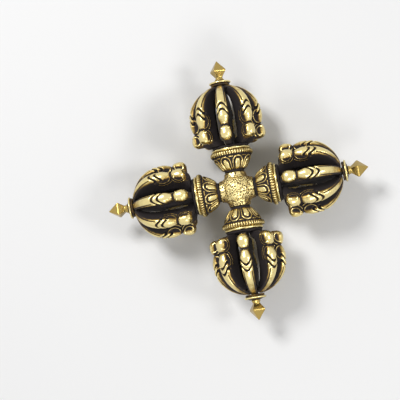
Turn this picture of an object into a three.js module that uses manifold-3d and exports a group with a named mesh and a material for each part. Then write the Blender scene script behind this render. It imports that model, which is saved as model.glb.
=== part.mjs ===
// Double vajra in brass: four nine-pronged heads at right angles on one hub.
// Millimetres, +Z up. The origin lies on the surface that the vajra rests on, below the middle of the hub.
// Each arm is modelled pointing along +Y with its axis on the hub's mid plane, then turned into place.
import * as THREE from "three";
import { mergeVertices } from "three/addons/utils/BufferGeometryUtils.js";
import Module from "manifold-3d";

const wasm = await Module();
wasm.setup();

// Overall sizes
const span = 112; // finial tip to finial tip
const cageRadius = 15.8; // arm axis to the worn crowns of the heads, so half the height overall
const prongCount = 8; // outer prongs round each head; the ninth is the centre prong
const fitGap = 0.2; // clearance wherever two pieces meet

// Hub
const bossRadius = 7.3;
const bossHalfHeight = 6.9;
const hubReach = 7.2; // hub centre to the face that carries a lotus cup
const lobeRootRadius = 5.2;
const lobeEndRadius = 4.5;
const pegRadius = 2.7;
const pegLength = 3.8;

// Lotus cup, with its bead ring and the seat that the prongs stand in
const cupNeckRadius = 4.3;
const bowlHeight = 6.7;
const bowlRimRadius = 8.9;
const bowlBulgeRadius = 7.1; // how far the bowl's curve is pulled out between neck and rim
const petalCount = 8;
const petalDepth = 0.55; // depth of the furrow between two petals
const beadRingRadius = 9.1;
const beadRingHeight = 1.5;
const lipRadius = 8.3; // second, plain ring above the beads
const lipHeight = 0.9;
const ringFurrow = 0.7; // depth of the grooves above and below the bead ring
const grooveHeight = 0.5;
const seatRadius = 7.5;
const seatRise = 1.1; // from the plain ring up to the seat face

// Outer prongs
const headGap = 1.9; // seat face to the underside of the heads
const headHeight = 11.2; // underside of a head up to its brow, where the blade begins
const footInner = 4.2; // foot of a prong, measured out from the arm axis
const footOuter = 7.3;
const footHalfWidth = 1.25;
const tenonInner = 4.4;
const tenonOuter = 6.2;
const tenonHalfWidth = 0.9;
const tenonDepth = 2.2;
const curlReach = 4; // how far the curled lip stands out beyond the foot
const tipRadius = 4; // crowns of the prongs where they meet under the collar
const tipThickness = 1.8;
const bladeBackRadius = 8.6; // back edge of a blade at the brow
const bladeTipHalfWidth = 1.6;
const bladeHalfWidth = 2.35;
const browHalfWidth = 2.8;
const browDrop = 0.3; // brow crown, below the knob crown
const waistHalfWidth = 1.5;
const waistDrop = 1.3; // depth of the waist below the crown
const knobHalfWidth = 2.5;
const webHalfWidth = 1.4; // the plate behind the head's rounded front

// Centre prong and finial
const rodRadius = 1.6;
const rodSwell = 2.3; // half diagonal of the square middle
const rodTenonDepth = 3.6;
const neckHeight = 1.2;
const girdleRadius = 4.1; // half diagonal of the finial
const finialBaseHeight = 2.9;
const finialPointHeight = 4.6;

// Collar that caps the prongs' tips
const collarDrumRadius = 4;
const collarDrumHeight = 0.9;
const collarDiscRadius = 4.6;
const collarDiscHeight = 0.9;
const collarConeHeight = 0.5;

// Smoothness
const roundSides = 2 * petalCount;
const smallSides = 12;

// Stations along an arm, measured from the hub centre
const tipReach = span / 2;
const cupStart = hubReach + fitGap;
const bowlTop = cupStart + bowlHeight;
const beadStart = bowlTop + grooveHeight;
const beadEnd = beadStart + beadRingHeight;
const lipStart = beadEnd + grooveHeight;
const lipEnd = lipStart + lipHeight;
const seat = lipEnd + seatRise;
const headStart = seat + headGap;
const brow = headStart + headHeight;
const girdle = tipReach - finialPointHeight;
const neckStart = girdle - finialBaseHeight - neckHeight;
const collarHeight = collarDrumHeight + collarDiscHeight + collarConeHeight;
const collarStart = neckStart - fitGap - collarHeight;
const tipTop = collarStart - fitGap;

// Materials
const castBrass = new THREE.MeshStandardMaterial({ color: 0xb08d45, roughness: 0.42, metalness: 1 });
const hubBrass = new THREE.MeshStandardMaterial({ color: 0xc2a35c, roughness: 0.5, metalness: 1 });
const brightBrass = new THREE.MeshStandardMaterial({ color: 0xb8943a, roughness: 0.3, metalness: 1 });

// A closed geometry as a solid: its vertices are merged and triangles that collapsed are dropped.
function solidOf(geometry) {
  const bare = geometry.clone();
  bare.deleteAttribute("normal");
  bare.deleteAttribute("uv");
  const merged = mergeVertices(bare, 1e-4);
  const kept = [];
  for (let i = 0; i < merged.index.count; i += 3) {
    const [a, b, c] = merged.index.array.slice(i, i + 3);
    if (a !== b && b !== c && c !== a) kept.push(a, b, c);
  }
  return new wasm.Manifold(
    new wasm.Mesh({
      numProp: 3,
      vertProperties: merged.attributes.position.array,
      triVerts: new Uint32Array(kept),
    }),
  );
}

function geometryOf(solid) {
  const mesh = solid.getMesh();
  const geometry = new THREE.BufferGeometry();
  geometry.setAttribute("position", new THREE.BufferAttribute(mesh.vertProperties, 3));
  geometry.setIndex(new THREE.BufferAttribute(mesh.triVerts, 1));
  const flat = geometry.toNonIndexed();
  flat.computeVertexNormals();
  return flat;
}

// A profile of [radius, station] points, turned round the arm's axis.
function revolve(profile, sides) {
  return new THREE.LatheGeometry(profile.map(([r, s]) => new THREE.Vector2(r, s)), sides);
}

// A skin over sections that hold the same number of points, closed by a fan from each end section's last point.
function loft(sections) {
  const round = sections[0].length;
  const last = (sections.length - 1) * round;
  const index = [];
  for (let row = 0; row < last; row += round) {
    for (let i = 0; i < round; i += 1) {
      const next = (i + 1) % round;
      index.push(row + i, row + round + next, row + next);
      index.push(row + i, row + round + i, row + round + next);
    }
  }
  for (let i = 0; i + 2 < round; i += 1) {
    index.push(round - 1, i, i + 1);
    index.push(last + round - 1, last + i + 1, last + i);
  }
  const geometry = new THREE.BufferGeometry();
  geometry.setAttribute("position", new THREE.Float32BufferAttribute(sections.flat(2), 3));
  geometry.setIndex(index);
  return geometry;
}

// Hub: a round boss, four lobes that carry the lotus cups, and a peg on each lobe.
function makeHub() {
  const boss = new THREE.SphereGeometry(1, roundSides, 10);
  boss.rotateX(Math.PI / 2);
  boss.scale(bossRadius, bossRadius, bossHalfHeight);
  const outline = [
    [0, 0],
    [lobeRootRadius, 0],
    [lobeRootRadius, hubReach / 2],
    [lobeEndRadius, hubReach],
    [pegRadius, hubReach],
    [pegRadius, hubReach + pegLength],
    [0, hubReach + pegLength],
  ];
  let hub = solidOf(boss);
  for (let quarter = 0; quarter < 4; quarter += 1) {
    const lobe = revolve(outline, smallSides);
    lobe.rotateZ((quarter * Math.PI) / 2);
    hub = hub.add(solidOf(lobe));
  }
  return geometryOf(hub);
}

// The cup's bowl in side view, and the furrow that the petals leave round it.
const bowlCurve = new THREE.QuadraticBezierCurve(
  new THREE.Vector2(cupNeckRadius, cupStart),
  new THREE.Vector2(bowlBulgeRadius, cupStart + bowlHeight * 0.4),
  new THREE.Vector2(bowlRimRadius, bowlTop),
);

// Lowers the bowl's surface between two petals. Petals lie between neighbouring prongs.
function flutePetals(geometry) {
  const position = geometry.attributes.position;
  for (let i = 0; i < position.count; i += 1) {
    const point = new THREE.Vector3().fromBufferAttribute(position, i);
    const radius = Math.hypot(point.x, point.z);
    if (radius < cupNeckRadius + 0.01 || point.y > bowlTop - 0.01) continue;
    const turn = (Math.atan2(point.x, point.z) * petalCount) / 2;
    const furrow = Math.abs(Math.sin(turn)) < 0.01 ? petalDepth : 0;
    const factor = (radius - furrow) / radius;
    position.setXYZ(i, point.x * factor, point.y, point.z * factor);
  }
}

function makeLotusCup() {
  const pegSocket = pegRadius + fitGap;
  const socketEnd = cupStart + pegLength + fitGap;
  const rodSocket = rodRadius + fitGap;
  const profile = [
    [0, socketEnd],
    [pegSocket, socketEnd],
    [pegSocket, cupStart],
    ...bowlCurve.getPoints(4).map((p) => [p.x, p.y]),
    [beadRingRadius - ringFurrow, beadStart],
    [beadRingRadius, beadStart + ringFurrow / 2],
    [beadRingRadius, beadEnd - ringFurrow / 2],
    [lipRadius - ringFurrow, lipStart],
    [lipRadius, lipStart],
    [lipRadius, lipEnd],
    [seatRadius, seat],
    [rodSocket, seat],
    [rodSocket, seat - rodTenonDepth - fitGap],
    [0, seat - rodTenonDepth - fitGap],
  ];
  const body = revolve(profile, roundSides);
  flutePetals(body);
  let cup = solidOf(body);
  const mortise = new THREE.BoxGeometry(
    2 * (tenonHalfWidth + fitGap),
    2 * (tenonDepth + fitGap),
    tenonOuter - tenonInner + 2 * fitGap,
  );
  mortise.translate(0, seat, (tenonInner + tenonOuter) / 2);
  for (let i = 0; i < prongCount; i += 1) {
    const cut = mortise.clone().rotateY((i * 2 * Math.PI) / prongCount);
    cup = cup.subtract(solidOf(cut));
  }
  return geometryOf(cup);
}

// Half the room across at a radius, less half a gap, so that neighbouring prongs never touch.
const sector = Math.PI / prongCount;
const roomAcross = (radius) => radius * Math.tan(sector) - fitGap / 2 / Math.cos(sector);

// One section of a prong: [across, station, radius] points, from the crown round to the back edge and home.
// sweep moves the crown towards the tip, which bows the section like the carved bands of the brow.
function prongSection({ crown, back, front, frontDepth, web, webDepth, sweep = 0 }) {
  const inward = back.clone().sub(crown);
  const depth = inward.length();
  inward.normalize();
  const tipward = new THREE.Vector2(inward.y, -inward.x);
  const at = (across, deep, along) => {
    const p = crown.clone().addScaledVector(inward, deep).addScaledVector(tipward, along);
    return [Math.sign(across) * Math.min(Math.abs(across), roomAcross(p.x)), p.y, p.x];
  };
  return [
    at(-front * 0.45, 0, sweep),
    at(front * 0.45, 0, sweep),
    at(front, frontDepth, -sweep / 2),
    at(web, webDepth, 0),
    at(0, depth, 0),
    at(-web, webDepth, 0),
    at(-front, frontDepth, -sweep / 2),
  ];
}

// The blade follows a quarter ellipse from the brow up to the collar, with a flatter one along its back.
const crownReach = cageRadius - browDrop;
const tipAngle = Math.asin(tipRadius / crownReach);
const crownRise = (tipTop - brow) / Math.cos(tipAngle);
const onCrown = (angle, proud = 0) =>
  new THREE.Vector2((crownReach + proud) * Math.sin(angle), brow + (crownRise + proud) * Math.cos(angle));
const onBack = (angle) =>
  new THREE.Vector2(bladeBackRadius * Math.sin(angle), brow + (crownRise - tipThickness) * Math.cos(angle));

function bladeSections() {
  const plainAngles = [0, 0.15, 0.32, 0.52, 0.72];
  const bands = [
    { share: 0.8, proud: 0, sweep: 0.9 },
    { share: 0.84, proud: -0.55, sweep: 0.9 },
    { share: 0.9, proud: 0.1, sweep: 0.9 },
    { share: 0.94, proud: -0.5, sweep: 0.8 },
  ];
  const stations = [...plainAngles.map((share) => ({ share, proud: 0, sweep: 0 })), ...bands];
  return stations.map(({ share, proud, sweep }) => {
    const angle = THREE.MathUtils.lerp(tipAngle, Math.PI / 2, share);
    const crown = onCrown(angle, proud);
    const back = onBack(angle);
    const depth = crown.distanceTo(back);
    const front = THREE.MathUtils.lerp(bladeTipHalfWidth, bladeHalfWidth, Math.min(1, share / 0.7));
    return prongSection({
      crown,
      back,
      front: share > 0.85 ? browHalfWidth : front,
      frontDepth: depth * 0.28,
      web: Math.min(front, webHalfWidth + 0.2),
      webDepth: depth * 0.62,
      sweep,
    });
  });
}

// The head below the brow, from a swollen cheek through the waist to the rounded knob.
function headSections() {
  const backAt = (share) => THREE.MathUtils.lerp(bladeBackRadius, footInner + 1.2, share);
  const shapes = [
    { down: 0.03, drop: browDrop, front: browHalfWidth, frontDepth: 1.5 },
    { down: 0.2, drop: browDrop + 0.2, front: browHalfWidth - 0.2, frontDepth: 1.6 },
    { down: 0.44, drop: waistDrop, front: waistHalfWidth, frontDepth: 0.8 },
    { down: 0.62, drop: 0.25, front: knobHalfWidth - 0.3, frontDepth: 1.5 },
    { down: 0.72, drop: 0, front: knobHalfWidth, frontDepth: 1.9 },
    { down: 0.9, drop: 0, front: knobHalfWidth, frontDepth: 2 },
    { down: 1, drop: 1.4, front: webHalfWidth, frontDepth: 1.2 },
  ];
  return shapes.map(({ down, drop, front, frontDepth }) => {
    const station = brow - down * headHeight;
    const crown = new THREE.Vector2(cageRadius - drop, station);
    const back = new THREE.Vector2(backAt(down), station);
    return prongSection({ crown, back, front, frontDepth, web: webHalfWidth, webDepth: 4.2 });
  });
}

// The foot below the head, in side view: a tenon for the seat and a lip that curls out and up.
function footOutline() {
  const stand = seat + fitGap;
  const outline = new THREE.Shape();
  outline.moveTo(footInner + 1.4, headStart + 1.2);
  outline.lineTo(footInner, headStart);
  outline.lineTo(footInner, stand);
  outline.lineTo(tenonInner, stand);
  outline.lineTo(tenonInner, seat - tenonDepth);
  outline.lineTo(tenonOuter, seat - tenonDepth);
  outline.lineTo(tenonOuter, stand);
  outline.lineTo(footOuter, stand);
  outline.quadraticCurveTo(footOuter + curlReach, stand, footOuter + curlReach, headStart + 0.8);
  outline.lineTo(footOuter + curlReach - 1.6, headStart + 1.2);
  outline.closePath();
  return outline;
}

function makeProng() {
  const blade = loft([...bladeSections(), ...headSections()]);
  const foot = new THREE.ExtrudeGeometry(footOutline(), {
    depth: 2 * footHalfWidth,
    bevelEnabled: false,
    curveSegments: 4,
  });
  foot.translate(0, 0, -footHalfWidth);
  foot.rotateY(-Math.PI / 2);
  const tenonRoom = new THREE.BoxGeometry(2 * footHalfWidth + 1, 2 * tenonDepth, cageRadius);
  tenonRoom.translate(tenonHalfWidth + footHalfWidth + 0.5, seat + fitGap - tenonDepth, cageRadius / 2);
  const otherSide = tenonRoom.clone().rotateZ(Math.PI);
  otherSide.translate(0, 2 * (seat + fitGap - tenonDepth), 0);
  const trimmed = solidOf(foot).subtract(solidOf(tenonRoom)).subtract(solidOf(otherSide));
  return geometryOf(solidOf(blade).add(trimmed));
}

// Centre prong: a round tenon in the seat, a square swelling rod, a round shank in the collar, then the finial.
function makeCentreProng() {
  const middle = (seat + tipTop) / 2;
  const round = revolve(
    [
      [0, seat - rodTenonDepth],
      [rodRadius, seat - rodTenonDepth],
      [rodRadius, neckStart],
      [rodRadius + 0.5, neckStart],
      [rodRadius - 0.1, neckStart + neckHeight],
      [0, neckStart + neckHeight + 1],
    ],
    smallSides,
  );
  const square = revolve(
    [
      [0, seat + fitGap],
      [rodRadius * 1.2, seat + fitGap],
      [rodSwell, middle],
      [rodRadius * 0.9, tipTop - tipThickness * 1.6],
      [0, tipTop - tipThickness * 1.6],
    ],
    4,
  );
  const finial = revolve(
    [
      [0, girdle - finialBaseHeight],
      [rodRadius * 1.1, girdle - finialBaseHeight],
      [girdleRadius, girdle - 0.3],
      [girdleRadius, girdle + 0.3],
      [0, tipReach],
    ],
    4,
  );
  finial.rotateY(Math.PI / 4);
  return geometryOf(solidOf(round).add(solidOf(square)).add(solidOf(finial)));
}

function makeCollar() {
  const bore = rodRadius + fitGap;
  const discStart = collarStart + collarDrumHeight;
  const discEnd = discStart + collarDiscHeight;
  return revolve(
    [
      [bore, collarStart],
      [collarDrumRadius, collarStart],
      [collarDrumRadius - 0.2, discStart],
      [collarDiscRadius, discStart + 0.2],
      [collarDiscRadius, discEnd - 0.2],
      [collarDiscRadius - 0.4, discEnd],
      [rodRadius + 0.9, collarStart + collarHeight],
      [bore, collarStart + collarHeight],
      [bore, collarStart],
    ],
    smallSides,
  );
}

const shapes = {
  cup: makeLotusCup(),
  prong: makeProng(),
  centre: makeCentreProng(),
  collar: makeCollar(),
};

function place(parent, name, geometry, material, turn = 0) {
  const mesh = new THREE.Mesh(geometry, material);
  mesh.name = name;
  mesh.rotation.y = turn;
  parent.add(mesh);
}

function makeArm(name, turn) {
  const arm = new THREE.Group();
  arm.rotation.z = turn;
  place(arm, `${name}_lotus_cup`, shapes.cup, castBrass);
  for (let i = 0; i < prongCount; i += 1) {
    place(arm, `${name}_prong_${i + 1}`, shapes.prong, castBrass, (i * 2 * Math.PI) / prongCount);
  }
  place(arm, `${name}_centre_prong`, shapes.centre, brightBrass);
  place(arm, `${name}_collar`, shapes.collar, castBrass);
  return arm;
}

const vajra = new THREE.Group();
vajra.position.z = cageRadius;
place(vajra, "hub", makeHub(), hubBrass);
vajra.add(makeArm("north", 0));
vajra.add(makeArm("west", Math.PI / 2));
vajra.add(makeArm("south", Math.PI));
vajra.add(makeArm("east", -Math.PI / 2));

export default vajra;
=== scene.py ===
import math
import bmesh
import bpy
import numpy as np
from mathutils import Matrix, Vector, noise


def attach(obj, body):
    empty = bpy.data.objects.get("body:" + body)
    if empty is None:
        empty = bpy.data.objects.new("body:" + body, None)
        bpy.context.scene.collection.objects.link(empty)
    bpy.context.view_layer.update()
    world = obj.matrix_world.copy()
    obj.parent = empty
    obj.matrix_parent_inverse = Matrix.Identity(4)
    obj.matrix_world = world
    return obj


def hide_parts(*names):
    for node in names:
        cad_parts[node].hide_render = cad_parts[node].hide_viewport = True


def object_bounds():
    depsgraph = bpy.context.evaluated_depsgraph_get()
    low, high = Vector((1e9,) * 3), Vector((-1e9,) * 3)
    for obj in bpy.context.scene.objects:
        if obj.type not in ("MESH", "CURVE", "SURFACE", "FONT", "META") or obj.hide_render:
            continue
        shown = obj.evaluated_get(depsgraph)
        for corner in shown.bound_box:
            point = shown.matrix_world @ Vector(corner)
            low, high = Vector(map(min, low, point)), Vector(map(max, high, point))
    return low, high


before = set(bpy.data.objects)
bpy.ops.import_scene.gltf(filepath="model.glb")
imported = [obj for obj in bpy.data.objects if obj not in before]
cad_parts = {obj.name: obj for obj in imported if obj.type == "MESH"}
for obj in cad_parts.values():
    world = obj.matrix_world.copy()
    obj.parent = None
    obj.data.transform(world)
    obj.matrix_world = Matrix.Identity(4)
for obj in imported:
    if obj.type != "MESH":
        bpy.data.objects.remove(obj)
cad_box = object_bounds()

# Camera: almost square to the crossed arms, leaning a little to the lower right, as the photograph is
# taken. PIXEL is how much of the object one pixel of the photograph covers.
MM = 0.001
HALF_HEIGHT = (cad_box[1][2] - cad_box[0][2]) / 2
PIXEL = 0.423 * MM
PICTURE_WIDTH = 400
ROLL = math.radians(9.3)
LEAN_RIGHT = math.radians(6.5)
LEAN_DOWN = math.radians(5)
DISTANCE = 600 * MM
SEEN_RIGHT = 37.5 * PIXEL
SEEN_UP = 10.5 * PIXEL
CLOSEST_SEEN = 10 * MM

middle = Vector((0, 0, HALF_HEIGHT))
image_right = Vector((math.cos(ROLL), -math.sin(ROLL), 0))
image_up = Vector((math.sin(ROLL), math.cos(ROLL), 0))
towards = Vector((0, 0, 1)) + image_right * math.tan(LEAN_RIGHT) - image_up * math.tan(LEAN_DOWN)
towards.normalize()
side = image_up.cross(towards).normalized()
above = towards.cross(side)
camera = bpy.data.objects.new("camera", bpy.data.cameras.new("camera"))
camera.matrix_world = Matrix((
    (side.x, above.x, towards.x, 0),
    (side.y, above.y, towards.y, 0),
    (side.z, above.z, towards.z, 0),
    (0, 0, 0, 1),
))
camera.location = middle + towards * DISTANCE - side * SEEN_RIGHT - above * SEEN_UP
camera.data.angle = 2 * math.atan(PICTURE_WIDTH / 2 * PIXEL / DISTANCE)
camera.data.clip_start = CLOSEST_SEEN
bpy.context.collection.objects.link(camera)
bpy.context.scene.camera = camera


# Hub: one brass casting, a fat round boss whose four short lobes carry the arms. Its skin is punched all
# over with a fine round tool. Like every piece it was blackened, then rubbed back to bright metal where it
# stands proud, so black stays in the punch marks.
PATINA = (0.016, 0.011, 0.011, 1)
DEEP_BRASS = (0.17, 0.1, 0.027, 1)
BRASS = (0.44, 0.31, 0.095, 1)
PALE_BRASS = (0.78, 0.65, 0.3, 1)
BLOTCH_SCALE = 420
BLOTCH_SHARE = 0.5
SPECKLE_SCALE = 2600
SPECKLE_SHARE = 0.26
SPECKLE_EVENED = -0.25
GRAIN_SCALE = 900
GRAIN_HEIGHT = 0.12 * MM
BLACK_TO = 0.56
DEEP_AT = 0.68
METAL_AT = 0.7
BRASS_AT = 0.84
PATINA_METALLIC = 0.1
PATINA_ROUGH = 0.8
ROUGH_TO = 0.4
POLISHED_AT = 0.8

TOUCHING = 0.002 * MM
HUB_GRID = 0.145 * MM
HUB_ROUNDS = 16
PUNCH_SPACING = 0.64 * MM
PUNCH_DEPTH = 0.24 * MM
PUNCH_EDGE = (0.2, 0.54)
PUNCH_BLACK = 0.95
HUB_WEAR = 0.42
TOP_WEAR = 0.34
TOP_HEIGHTS = (2, 6)


def brass(name, rough, grain, pale):
    """Brass that is black or bright as its point attribute says, with blotches and specks on the way. That
    attribute holds patina and rubbing, and on the prongs painted shade as well.
    """
    material = bpy.data.materials.new(name)
    material.use_nodes = True
    nodes = material.node_tree.nodes
    links = material.node_tree.links
    shader = nodes["Principled BSDF"]
    coordinates = nodes.new("ShaderNodeTexCoord")
    wear_and_shade = nodes.new("ShaderNodeAttribute")
    wear_and_shade.attribute_name = "wear_and_shade"

    def cloud(scale, detail):
        texture = nodes.new("ShaderNodeTexNoise")
        texture.inputs["Scale"].default_value = scale
        texture.inputs["Detail"].default_value = detail
        links.new(coordinates.outputs["Object"], texture.inputs["Vector"])
        return texture.outputs["Fac"]

    def with_share(base, extra, share):
        node = nodes.new("ShaderNodeMath")
        node.operation = "MULTIPLY_ADD"
        links.new(extra, node.inputs[0])
        node.inputs[1].default_value = share
        links.new(base, node.inputs[2])
        return node.outputs[0]

    def drives(value, low, high, at_low, at_high, socket):
        node = nodes.new("ShaderNodeMapRange")
        links.new(value, node.inputs["Value"])
        node.inputs["From Min"].default_value = low
        node.inputs["From Max"].default_value = high
        node.inputs["To Min"].default_value = at_low
        node.inputs["To Max"].default_value = at_high
        links.new(node.outputs["Result"], shader.inputs[socket])

    blotches = cloud(BLOTCH_SCALE, detail=5)
    speckle = cloud(SPECKLE_SCALE, detail=3)
    blotched = with_share(wear_and_shade.outputs["Fac"], blotches, BLOTCH_SHARE)
    rubbed = with_share(blotched, speckle, SPECKLE_SHARE)
    tone = nodes.new("ShaderNodeValToRGB")
    links.new(rubbed, tone.inputs["Fac"])
    stops = tone.color_ramp.elements
    stops[0].position = BLACK_TO
    stops[0].color = PATINA
    stops[1].position = DEEP_AT
    stops[1].color = DEEP_BRASS
    stops.new(BRASS_AT).color = BRASS
    stops.new(1).color = pale
    links.new(tone.outputs["Color"], shader.inputs["Base Color"])
    drives(rubbed, BLACK_TO, METAL_AT, PATINA_METALLIC, 1, "Metallic")
    evened = with_share(rubbed, speckle, SPECKLE_EVENED)
    drives(evened, ROUGH_TO, POLISHED_AT, PATINA_ROUGH, rough, "Roughness")

    bump = nodes.new("ShaderNodeBump")
    bump.inputs["Strength"].default_value = grain
    bump.inputs["Distance"].default_value = GRAIN_HEIGHT
    links.new(with_share(speckle, cloud(GRAIN_SCALE, detail=3), 1), bump.inputs["Height"])
    links.new(bump.outputs["Normal"], shader.inputs["Normal"])
    return material


def points_of(mesh):
    flat = np.empty(len(mesh.vertices) * 3)
    mesh.vertices.foreach_get("co", flat)
    return flat.reshape(-1, 3)


def normals_of(mesh):
    flat = np.empty(len(mesh.vertices) * 3)
    mesh.vertices.foreach_get("normal", flat)
    return flat.reshape(-1, 3)


def move_points(mesh, points):
    mesh.vertices.foreach_set("co", points.ravel())
    mesh.update()


# Stores per point how black or bright the brass is: patina and rubbing, and on the prongs painted shade as
# well.
def set_wear_and_shade(mesh, wear_and_shade):
    layer = mesh.attributes.new("wear_and_shade", "FLOAT", "POINT")
    layer.data.foreach_set("value", np.clip(wear_and_shade, 0, 1).astype(np.float32))


def smooth_step(low, high, value):
    """0 up to the low value, 1 from the high one on, and a soft rise between them."""
    share = np.clip((value - low) / (high - low), 0, 1)
    return share * share * (3 - 2 * share)


def mesh_of(bm, name):
    bmesh.ops.remove_doubles(bm, verts=bm.verts, dist=TOUCHING)
    bmesh.ops.recalc_face_normals(bm, faces=bm.faces)
    mesh = bpy.data.meshes.new(name)
    bm.to_mesh(mesh)
    bm.free()
    mesh.shade_smooth()
    return mesh


def fused(bm, name, grid, rounds):
    """One even skin over all the shapes in bm, calmed by some rounds of smoothing."""
    raw = bpy.data.objects.new(name, mesh_of(bm, name))
    bpy.context.collection.objects.link(raw)
    skin = raw.modifiers.new("skin", "REMESH")
    skin.mode = "VOXEL"
    skin.voxel_size = grid
    calm = raw.modifiers.new("calm", "SMOOTH")
    calm.factor = 0.5
    calm.iterations = rounds
    evaluated = raw.evaluated_get(bpy.context.evaluated_depsgraph_get())
    mesh = bpy.data.meshes.new_from_object(evaluated)
    bpy.data.objects.remove(raw)
    mesh.shade_smooth()
    return mesh


def sink(mesh, depth):
    """Moves each vertex in along its normal, by so many metres."""
    move_points(mesh, points_of(mesh) - normals_of(mesh) * depth[:, None])


def copy_of_node(node):
    """A node's own shape with its triangles joined, moved so that the arms' axes cross at the origin."""
    bm = bmesh.new()
    bm.from_mesh(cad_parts[node].data)
    bmesh.ops.remove_doubles(bm, verts=bm.verts, dist=TOUCHING)
    bmesh.ops.translate(bm, verts=bm.verts, vec=-middle)
    return bm


def fit(mesh, name, place, material, node):
    """Puts a copy of a finished mesh in its place on the object, in the stead of its CAD node."""
    placed = mesh.copy()
    placed.transform(Matrix.Translation(middle) @ place)
    placed.materials.clear()
    placed.materials.append(material)
    piece = bpy.data.objects.new(name, placed)
    bpy.context.collection.objects.link(piece)
    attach(piece, "root")
    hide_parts(node)


hub = fused(copy_of_node("hub"), "hub", HUB_GRID, HUB_ROUNDS)
hub_points = points_of(hub)
nearest = np.array([noise.voronoi(Vector(p / PUNCH_SPACING))[0][0] for p in hub_points])
marks = 1 - smooth_step(*PUNCH_EDGE, nearest)
sink(hub, marks * PUNCH_DEPTH)
hub_height = np.abs(hub_points[:, 2]) / MM
set_wear_and_shade(hub, HUB_WEAR + TOP_WEAR * smooth_step(*TOP_HEIGHTS, hub_height) - PUNCH_BLACK * marks)
punched_brass = brass("punched_brass", rough=0.34, grain=0.35, pale=PALE_BRASS)
fit(hub, "hub_casting", Matrix.Identity(4), punched_brass, "hub")


# Lotus cups: turned and chased brass, one fixed on each lobe of the hub. A bowl of broad petals opens
# towards the prongs, each petal a raised arch round a long lobe. Above it come a ticked ring, a plain
# ring and the seat that the prongs stand in.
ARMS = {"north": 0, "west": 90, "south": 180, "east": 270}

# Sizes on the arms are in millimetres where MM isn't written with them, and heights run out along the arm
# from the middle of the hub.
CUP_START = 7.4
CUP_STEPS = 192
CUP_FOOT = ((0, 7.4), (3.9, 7.4), (4.2, 7.6))
BOWL_TOP = 14.1
BOWL_STEPS = 32
BOWL_FOOT = 4.3
BOWL_BELLY = 7
BOWL_MOUTH = 8.5
BELLY_HEIGHT = 0.4
BOWL_LIFT = 0.25
BOWL_SPAN = (0.02, 0.995)
BOWL_BEYOND = 4.2
RINGS = ((14.35, 16.25, 9.1), (16.45, 17.6, 8.3))
RING_STEPS = 10
RING_ROUNDING = 0.55
RING_DEPTH = 0.9
RING_GAP = 0.1
CUP_SEAT = ((7.7, 17.75), (7.6, 18.3), (7.3, 18.6), (0, 18.6))

PETALS = 8
PETAL_HEIGHT = 0.7
LOBE_EDGE = (0.38, 0.54)
ARCH_INSIDE = (0.68, 0.76)
ARCH_OUTSIDE = (0.84, 0.95)
BACK_ARCH_INSIDE = (0.6, 0.68)
BACK_ARCH_OUTSIDE = (0.82, 0.92)
BACK_ARCH_BEYOND = 1.02
ARCH_HEIGHT = 0.85
BACK_ARCH_HEIGHT = 0.7
PETAL_ROOT = (-0.05, 0.25)
TICKS = 48
TICKED = (14.3, 16.3)
TICKED_BEYOND = 8.3
TICK_DEPTH = 0.28
RINGED = (14.3, 17.6)
RING_EDGE = (7.75, 8.25)
RELIEF_WEAR = 0.72
BOWL_BLACK = 0.12
RING_WEAR = 0.58
TICK_BLACK = 0.34


def turned(degrees, axis):
    return Matrix.Rotation(math.radians(degrees), 4, axis)


def spun(outline, closed, steps):
    """A turned solid: the outline's points are (radius, station) in millimetres along the arm."""
    bm = bmesh.new()
    rim = [bm.verts.new((radius * MM, height * MM, 0)) for radius, height in outline]
    ends = rim[1:] + rim[:1] if closed else rim[1:]
    edges = [bm.edges.new(pair) for pair in zip(rim, ends)]
    bmesh.ops.spin(
        bm, geom=rim + edges, cent=(0, 0, 0), axis=(0, 1, 0), angle=2 * math.pi, steps=steps, use_merge=True
    )
    return bm


def within(low, high, value):
    return (value > low) & (value < high)


def band_between(inside, outside, value):
    """A raised band with soft sides: inside and outside say where each side starts and ends."""
    return smooth_step(*inside, value) * (1 - smooth_step(*outside, value))


def rubbing(mesh, rounds, strength, most_lost, most_gained):
    """How much brighter rubbing leaves the surface where it stands out of its surroundings, and how much
    darker in its hollows.
    """
    points = points_of(mesh)
    ends = np.empty(len(mesh.edges) * 2, dtype=np.int64)
    mesh.edges.foreach_get("vertices", ends)
    a, b = ends.reshape(-1, 2).T
    count = np.bincount(np.concatenate([a, b]), minlength=len(points))[:, None].clip(1)
    calm = points.copy()
    for _ in range(rounds):
        total = np.zeros_like(calm)
        np.add.at(total, a, calm[b])
        np.add.at(total, b, calm[a])
        calm = 0.5 * calm + 0.5 * total / count
    proud = ((points - calm) * normals_of(mesh)).sum(axis=1) / MM
    return np.clip(strength * proud, -most_lost, most_gained)


outline = list(CUP_FOOT)
for step in range(BOWL_STEPS + 1):
    share = step / BOWL_STEPS
    rest = 1 - share
    radius = BOWL_FOOT * rest ** 2 + 2 * BOWL_BELLY * share * rest + BOWL_MOUTH * share ** 2
    height = 2 * BELLY_HEIGHT * share * rest + share ** 2
    outline.append((radius, CUP_START + (BOWL_TOP - CUP_START) * height + BOWL_LIFT * rest))
for low, high, ring in RINGS:
    outline.append((ring - RING_DEPTH, low - RING_GAP))
    for step in range(RING_STEPS + 1):
        turn = math.pi * (step / RING_STEPS - 0.5)
        radius = ring - RING_ROUNDING + RING_ROUNDING * math.cos(turn)
        outline.append((radius, (low + high) / 2 + (high - low) / 2 * math.sin(turn)))
    outline.append((ring - RING_DEPTH, high + RING_GAP))
outline += CUP_SEAT
cup = mesh_of(spun(outline, closed=False, steps=CUP_STEPS), "lotus_cup")

cup_points = points_of(cup) / MM
around = np.arctan2(cup_points[:, 0], cup_points[:, 2])
out = np.hypot(cup_points[:, 0], cup_points[:, 2])
station = cup_points[:, 1]
across = ((around / (2 * math.pi) * PETALS) % 1 - 0.5) * 2
along = (station - CUP_START) / (BOWL_TOP - CUP_START)


def from_root(sideways, spring, rise):
    """1 on a petal's edge and less inside it. The sides are straight up to the spring, the top is round."""
    return np.sqrt(sideways ** 2 + (np.clip(along - spring, 0, None) / rise) ** 2)


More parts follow.
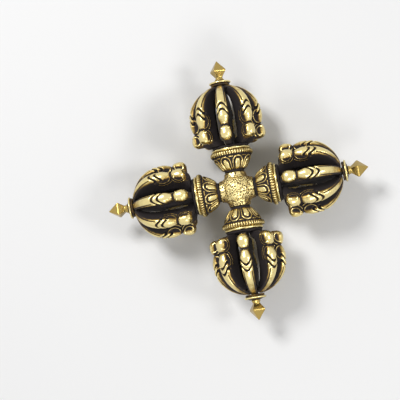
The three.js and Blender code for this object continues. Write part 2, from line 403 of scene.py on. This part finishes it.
front_petal = from_root(across, spring=0.5, rise=0.48)
back_petal = from_root(1 - np.abs(across), spring=0.6, rise=0.38)
lobe = 1 - smooth_step(*LOBE_EDGE, front_petal)
arch = band_between(ARCH_INSIDE, ARCH_OUTSIDE, front_petal)
back_arch = band_between(BACK_ARCH_INSIDE, BACK_ARCH_OUTSIDE, back_petal)
back_arch = back_arch * (front_petal > BACK_ARCH_BEYOND)
bowl = within(*BOWL_SPAN, along) & (out > BOWL_BEYOND)
relief = np.maximum.reduce([lobe, ARCH_HEIGHT * arch, BACK_ARCH_HEIGHT * back_arch])
relief = np.where(bowl, relief * smooth_step(*PETAL_ROOT, along), 0)
ticked = within(*TICKED, station) & (out > TICKED_BEYOND)
ticks = np.where(ticked, 0.5 - 0.5 * np.cos(around * TICKS), 0)
sink(cup, (np.where(bowl, PETAL_HEIGHT * (1 - relief), 0) + TICK_DEPTH * ticks) * MM)
rings = np.where(within(*RINGED, station), smooth_step(*RING_EDGE, out), 0)
cup_wear = np.where(bowl, RELIEF_WEAR * relief - BOWL_BLACK, RING_WEAR * rings - TICK_BLACK * ticks)
rubbed = rubbing(cup, rounds=12, strength=0.8, most_lost=0.35, most_gained=0.1)
set_wear_and_shade(cup, cup_wear + rubbed)
cast_brass = brass("rubbed_and_shaded_cast_brass", rough=0.23, grain=0.25, pale=PALE_BRASS)
for arm, turn in ARMS.items():
    fit(cup, f"{arm}_petal_cup", turned(turn, "Z"), cast_brass, f"{arm}_lotus_cup")


# Outer prongs: cast brass, eight round each arm, tenoned into the seat. Each springs from the mouth of a
# stylised sea-beast's head, whose brow, snout and cheeks are carved in the front and sides, and bends in
# under the collar. Its deep sides stay black.
# Each crown's colour also carries painted shade, darker towards its rounded sides.
PRONGS = 8
SET_BY_EYE = 1.4
CROWN = HALF_HEIGHT / MM
BROW = 31.7
OVAL = 29.2
WAIST = 26.1
KNOB = 22.7
HEAD_FOOT = 20.5
FOOT_CUT = 21.4

BLADE_REACH = CROWN - 0.3
BLADE_SECTIONS = 28
BLADE_SHARES = (0, 0.5, 0.8, 1)
BLADE_HALF_WIDTHS = (1.6, 2.05, 2.4, 2.5)
TIP_RADIUS = 4
TIP_TOP = 44.6
TIP_THICKNESS = 1.8
BACK_RADIUS = 6.3
BACK_FULL = 24
BACK_FOOT_RADIUS = 5.4
HEAD_SECTIONS = 42
HEAD_SPAN = (BROW - 0.3, HEAD_FOOT - 0.6)
HEAD_STATIONS = (19.9, 20.3, 21, 22.2, 23.5, 24.8, 25.7, 26.3, 27.6, 29.6, 31.4)
HEAD_HALF_WIDTHS = (0.8, 1.6, 2.2, 2.5, 2.4, 2.05, 1.6, 1.4, 1.8, 2.4, 2.5)
HEAD_DROPS = (2, 1.1, 0.4, 0, 0.1, 0.4, 0.95, 1.2, 0.7, 0.2, 0.3)
ROUND_SHARE = 0.8
PLATE_HALF_WIDTH = 1.25
FRONT_POINTS = 15
BACK_POINTS = 7
PRONG_GRID = 0.2 * MM
PRONG_ROUNDS = 7

FRONT_WIDTH = 2.35
FRONT_TAPER = 0.75
GROOVE_START = (BROW + 3.4, BROW + 4.2)
GROOVE_SHARE = 0.8
GROOVE_WIDTH = 0.17
GROOVE_DEPTH = 0.28
GROOVE_REACH = 2.5
BROW_CUTS = (35.4, 32.8)
BROW_BOW = 0.45
BROW_CUT_WIDTH = 0.44
BROW_CUT_REACH = 3
PINCH_WIDTH = 0.38
PINCH_DEPTH = 0.42
PINCH_REACH = 4
HEAD_START = (HEAD_FOOT, HEAD_FOOT + 0.6)
HEAD_END = (BROW - 0.5, BROW + 0.5)
FLANK = (1, 1.5)
KNOB_CURLS = (2.1, 3.3)
KNOB_CURL_DEPTH = 1.6
OVAL_CURLS = (2.3, 3.5)
OVAL_CURL_DEPTH = 1.8
OVAL_STRETCH = 0.8
CURL_WIDTH = 0.2
CURL_HEIGHT = 0.3

# How bright the rubbed crown is, and over what sunk depth painted shade darkens it towards its rounded
# sides.
FRONT_WEAR_AND_SHADE = 0.64
FRONT_SHADE_EDGE = (0.3, 3)
LIP_WEAR = 0.25
LIP_TOP = HEAD_FOOT + 1
LIP_BEYOND = 8
CUT_BLACK = 1.6
SIDE_BLACK = 0.8
SIDE_EDGE = (4.2, 6.5)
CURL_WEAR = 0.5
CURL_EDGE = (5, 7.5)

prong = copy_of_node("north_prong_1")
foot_parts = prong.verts[:] + prong.edges[:] + prong.faces[:]
bmesh.ops.bisect_plane(
    prong, geom=foot_parts, plane_co=(0, FOOT_CUT * MM, 0), plane_no=(0, 1, 0), clear_outer=True
)
bmesh.ops.holes_fill(prong, edges=prong.edges)
tip_angle = math.asin(TIP_RADIUS / BLADE_REACH)
rise = (TIP_TOP - BROW) / math.cos(tip_angle)
sections = []
for angle in np.linspace(tip_angle, math.pi / 2, BLADE_SECTIONS):
    share = (angle - tip_angle) / (math.pi / 2 - tip_angle)
    crown = Vector((BLADE_REACH * math.sin(angle), BROW + rise * math.cos(angle)))
    back = Vector((BACK_RADIUS * math.sin(angle), BROW + (rise - TIP_THICKNESS) * math.cos(angle)))
    sections.append((crown, back, np.interp(share, BLADE_SHARES, BLADE_HALF_WIDTHS)))
for height in np.linspace(*HEAD_SPAN, HEAD_SECTIONS):
    crown = Vector((CROWN - np.interp(height, HEAD_STATIONS, HEAD_DROPS), height))
    back_out = np.interp(height, (HEAD_FOOT, BACK_FULL), (BACK_FOOT_RADIUS, BACK_RADIUS))
    back = Vector((back_out, height))
    sections.append((crown, back, np.interp(height, HEAD_STATIONS, HEAD_HALF_WIDTHS)))
rings = []
for crown, back, half_width in sections:
    inward = back - crown
    depth = inward.length
    inward.normalize()
    front_depth = min(ROUND_SHARE * half_width, depth / 2)
    plate = min(PLATE_HALF_WIDTH, ROUND_SHARE * half_width)
    plate_end = min(plate, depth / 5)
    shape = []
    for turn in np.linspace(-math.pi / 2, math.pi / 2, FRONT_POINTS):
        shape.append((half_width * math.sin(turn), front_depth * (1 - math.cos(turn))))
    for turn in np.linspace(0, math.pi, BACK_POINTS):
        shape.append((plate * math.cos(turn), depth - plate_end + plate_end * math.sin(turn)))
    ring = bmesh.ops.create_circle(prong, radius=MM, segments=len(shape))["verts"]
    for vert, (wide, deep) in zip(ring, shape):
        spot = crown + inward * deep
        vert.co = (wide * MM, spot.y * MM, spot.x * MM)
    rings.append(list({edge for vert in ring for edge in vert.link_edges}))
for pair in zip(rings, rings[1:]):
    bmesh.ops.bridge_loops(prong, edges=pair[0] + pair[1])
bmesh.ops.holes_fill(prong, edges=rings[0] + rings[-1])
prong = fused(prong, "prong", PRONG_GRID, PRONG_ROUNDS)

prong_points = points_of(prong) / MM
aside = np.abs(prong_points[:, 0])
station = prong_points[:, 1]
out = prong_points[:, 2]
tip_share = np.clip((station - BROW) / (TIP_TOP - BROW), 0, 1)
blade_line = TIP_RADIUS + (BLADE_REACH - TIP_RADIUS) * np.sqrt(1 - tip_share ** 2)
sunk = np.where(station > BROW, blade_line, CROWN) - out


def stroke(distance, width):
    """A chased line: 1 along its middle, and next to nothing from twice its width away."""
    return np.exp(-(distance / width) ** 2)


def brow_cut(apex):
    """A bow across the front, with its top towards the tip."""
    return stroke(station - (apex - BROW_BOW * aside ** 2), BROW_CUT_WIDTH) * (sunk < BROW_CUT_REACH)


def curls_round(height, depth, stretch, curls):
    """Rings round a place on the flank, one for each radius in curls."""
    away = np.hypot((station - height) * stretch, out - (CROWN - depth))
    return sum(stroke(away - curl, CURL_WIDTH) for curl in curls)


groove_line = GROOVE_SHARE * (FRONT_WIDTH - FRONT_TAPER * tip_share ** 2)
grooved = smooth_step(*GROOVE_START, station) * (sunk < GROOVE_REACH)
grooves = grooved * stroke(aside - groove_line, GROOVE_WIDTH)
pinch = stroke(station - WAIST, PINCH_WIDTH) * (out > CROWN - PINCH_REACH)
brow_cuts = [brow_cut(apex) for apex in BROW_CUTS]
cuts = np.maximum.reduce([GROOVE_DEPTH * grooves, PINCH_DEPTH * pinch, *brow_cuts])
knob_curls = curls_round(KNOB, KNOB_CURL_DEPTH, 1, KNOB_CURLS)
oval_curls = curls_round(OVAL, OVAL_CURL_DEPTH, OVAL_STRETCH, OVAL_CURLS)
on_head = band_between(HEAD_START, HEAD_END, station) * smooth_step(*FLANK, aside)
curls = on_head * np.where(station < WAIST, knob_curls, oval_curls)
sink(prong, (cuts - CURL_HEIGHT * curls) * MM)

# Painted shade: the crown keeps a rubbed bright middle, and its colour is darkened towards its rounded
# sides, where they turn away from the light.
front_wear_and_shade = FRONT_WEAR_AND_SHADE * (1 - smooth_step(*FRONT_SHADE_EDGE, sunk))
lip = np.where((station < LIP_TOP) & (out > LIP_BEYOND), LIP_WEAR, 0)
rubbed = rubbing(prong, rounds=14, strength=1.5, most_lost=0.6, most_gained=0.3)
blackened = 1 - SIDE_BLACK * smooth_step(*SIDE_EDGE, sunk)
curl_wear = CURL_WEAR * curls * (1 - smooth_step(*CURL_EDGE, sunk))
set_wear_and_shade(prong, (front_wear_and_shade + rubbed + lip - CUT_BLACK * cuts) * blackened + curl_wear)
chance = np.random.default_rng(7)
for arm, turn in ARMS.items():
    for number in range(PRONGS):
        slip = chance.uniform(-SET_BY_EYE, SET_BY_EYE)
        place = turned(turn, "Z") @ turned(360 / PRONGS * number + slip, "Y")
        node = f"{arm}_prong_{number + 1}"
        fit(prong, f"{arm}_beast_prong_{number + 1}", place, cast_brass, node)


# Centre prongs: one rod from the seat out through the collar, square and swollen in the cage and blackened
# there. It ends in a four-sided jewel that is filed bright.
ROD_GRID = 0.13 * MM
ROD_ROUNDS = 24
FLAT_WITHIN = math.radians(3)
JEWEL_SLIMMING = 0.08
SLIM_FROM = (48.3, 49.5)
BRIGHT_FROM = (46.6, 48.2)
ROD_WEAR = 0.1
JEWEL_WEAR = 0.6
FILED_BRASS = (0.42, 0.3, 0.09, 1)
JEWEL_TURNS = {"north": 24, "west": 8, "south": -20, "east": 33}

jewel = copy_of_node("north_centre_prong")
bmesh.ops.dissolve_limit(jewel, angle_limit=FLAT_WITHIN, verts=jewel.verts, edges=jewel.edges)
jewel = fused(jewel, "centre_prong", ROD_GRID, ROD_ROUNDS)
jewel_points = points_of(jewel)
station = jewel_points[:, 1] / MM
slim = 1 - JEWEL_SLIMMING * smooth_step(*SLIM_FROM, station)
jewel_points[:, 0] *= slim
jewel_points[:, 2] *= slim
move_points(jewel, jewel_points)
bright = smooth_step(*BRIGHT_FROM, station)
rubbed = rubbing(jewel, rounds=10, strength=1, most_lost=0.3, most_gained=0.15)
set_wear_and_shade(jewel, JEWEL_WEAR * bright + ROD_WEAR + rubbed)
filed_brass = brass("filed_brass", rough=0.24, grain=0.12, pale=FILED_BRASS)
for arm, turn in ARMS.items():
    place = turned(turn, "Z") @ turned(JEWEL_TURNS[arm], "Y")
    fit(jewel, f"{arm}_jewel_prong", place, filed_brass, f"{arm}_centre_prong")


# Collars: small turned brass discs threaded over the rods, which hold the tips of the eight prongs
# together. The rim is rubbed bright and the step under it stays dark.
COLLAR_START = 44.8
COLLAR_STEPS = 72
COLLAR_PROFILE = (
    (1.8, 0), (3.7, 0), (4, 0.15), (4, 0.7), (3.8, 0.85), (4.3, 0.95), (4.6, 1.15),
    (4.65, 1.4), (4.6, 1.6), (4.3, 1.8), (3.6, 1.85), (2.9, 2.05), (2.5, 2.3), (1.8, 2.3),
)
COLLAR_WEAR = 0.14
RIM_WEAR = 0.5
RIM_FROM = (3.9, 4.5)

outline = [(radius, COLLAR_START + height) for radius, height in COLLAR_PROFILE]
collar = spun(outline, closed=True, steps=COLLAR_STEPS)
bmesh.ops.remove_doubles(collar, verts=collar.verts, dist=TOUCHING)
bmesh.ops.subdivide_edges(collar, edges=collar.edges, cuts=1, use_grid_fill=True)
collar = mesh_of(collar, "collar")
collar_points = points_of(collar) / MM
bright_rim = smooth_step(*RIM_FROM, np.hypot(collar_points[:, 0], collar_points[:, 2]))
rubbed = rubbing(collar, rounds=6, strength=0.8, most_lost=0.3, most_gained=0.1)
set_wear_and_shade(collar, COLLAR_WEAR + RIM_WEAR * bright_rim + rubbed)
for arm, turn in ARMS.items():
    fit(collar, f"{arm}_collar_ring", turned(turn, "Z"), cast_brass, f"{arm}_collar")


# Setting: a plain pale paper floor under three soft studio lamps, sized in metres and watts. The room is
# white only where it is seen directly or in the metal, and lights the object much less than that.
FLOOR_HALF = 2
PAPER = (0.86, 0.86, 0.86, 1)
PAPER_ROUGH = 0.9
WHITE = (1, 1, 1, 1)
SKY = 0.3
LAMPS = (
    ("key", (-0.25, 0.35, 0.6), 0.2, 3),
    ("fill", (0.5, -0.1, 0.5), 0.16, 1.2),
    ("front_wear_and_shade", (0.05, -0.5, 0.45), 0.2, 1),
)

floor = bmesh.new()
bmesh.ops.create_grid(floor, x_segments=1, y_segments=1, size=FLOOR_HALF)
floor_mesh = bpy.data.meshes.new("floor")
floor.to_mesh(floor_mesh)
floor.free()
floor_piece = bpy.data.objects.new("floor", floor_mesh)
bpy.context.collection.objects.link(floor_piece)
paper = bpy.data.materials.new("pale_paper")
paper.use_nodes = True
paper_shader = paper.node_tree.nodes["Principled BSDF"]
paper_shader.inputs["Base Color"].default_value = PAPER
paper_shader.inputs["Roughness"].default_value = PAPER_ROUGH
floor_mesh.materials.append(paper)

for name, spot, size, power in LAMPS:
    lamp = bpy.data.objects.new(name, bpy.data.lights.new(name, "AREA"))
    lamp.data.size = size
    lamp.data.energy = power
    lamp.location = spot
    lamp.rotation_euler = (middle - Vector(spot)).to_track_quat("-Z", "Y").to_euler()
    bpy.context.collection.objects.link(lamp)

world = bpy.data.worlds.new("studio")
world.use_nodes = True
air = world.node_tree.nodes
air_links = world.node_tree.links
air["Background"].inputs["Color"].default_value = WHITE
ray = air.new("ShaderNodeLightPath")
seen = ray.outputs["Is Camera Ray"]
for kind in ("Is Glossy Ray", "Is Transmission Ray"):
    either = air.new("ShaderNodeMath")
    either.operation = "MAXIMUM"
    air_links.new(seen, either.inputs[0])
    air_links.new(ray.outputs[kind], either.inputs[1])
    seen = either.outputs[0]
strength = air.new("ShaderNodeMapRange")
strength.inputs["To Min"].default_value = SKY
air_links.new(seen, strength.inputs["Value"])
air_links.new(strength.outputs["Result"], air["Background"].inputs["Strength"])
bpy.context.scene.world = world
bpy.context.scene.view_settings.view_transform = "Standard"
